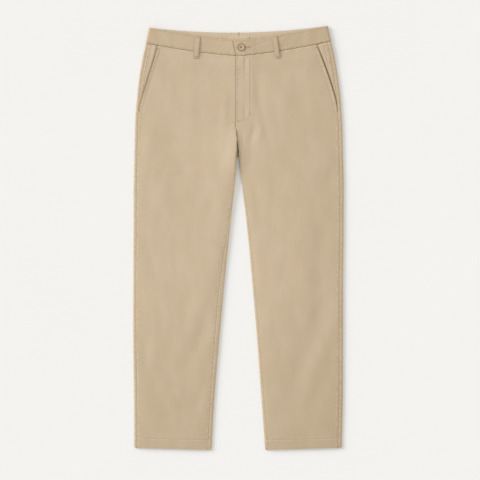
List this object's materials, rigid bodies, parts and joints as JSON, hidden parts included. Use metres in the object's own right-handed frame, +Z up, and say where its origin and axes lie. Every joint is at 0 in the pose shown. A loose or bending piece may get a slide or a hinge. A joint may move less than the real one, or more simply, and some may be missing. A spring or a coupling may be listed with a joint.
{
  "type": "chino trousers",
  "caption": "Straight-leg cotton twill chino trousers laid flat, front up: slant pockets, buttoned waistband over a zip fly, belt loops and stitched hems.",
  "frame": {"origin": "on the surface the garment lies on, under the middle of its outline", "axes": "+X to the wearer's left, +Y from the hems to the waist, +Z up out of the front"},
  "size_m": [0.5148, 1.0386, 0.0124],
  "materials": {
    "twill": "washed cotton twill, matte, fine diagonal rib",
    "facing": "plain-woven cotton, matte, lighter than the twill",
    "label": "bare woven patch, soft satin",
    "button": "horn-like moulded plastic, satin",
    "thread": "twisted sewing thread",
    "tape": "woven zip tape",
    "brass": "brushed zip chain"
  },
  "bodies": {
    "root": {"front_right": "twill", "front_left": "twill", "back_right": "twill", "back_left": "twill", "pocket_facing_right": "twill", "pocket_facing_left": "twill", "waistband_right": "twill", "waistband_left": "twill", "waistband_facing": "facing", "label_bare": "label", "zip_tape": "tape", "zip_chain": "brass", "zip_slider": "brass", "belt_loop_front_right": "twill", "belt_loop_front_left": "twill", "belt_loop_back_right": "twill", "belt_loop_back_centre": "twill", "belt_loop_back_left": "twill", "button": "button", "button_shank": "thread"}
  },
  "joints": []
}
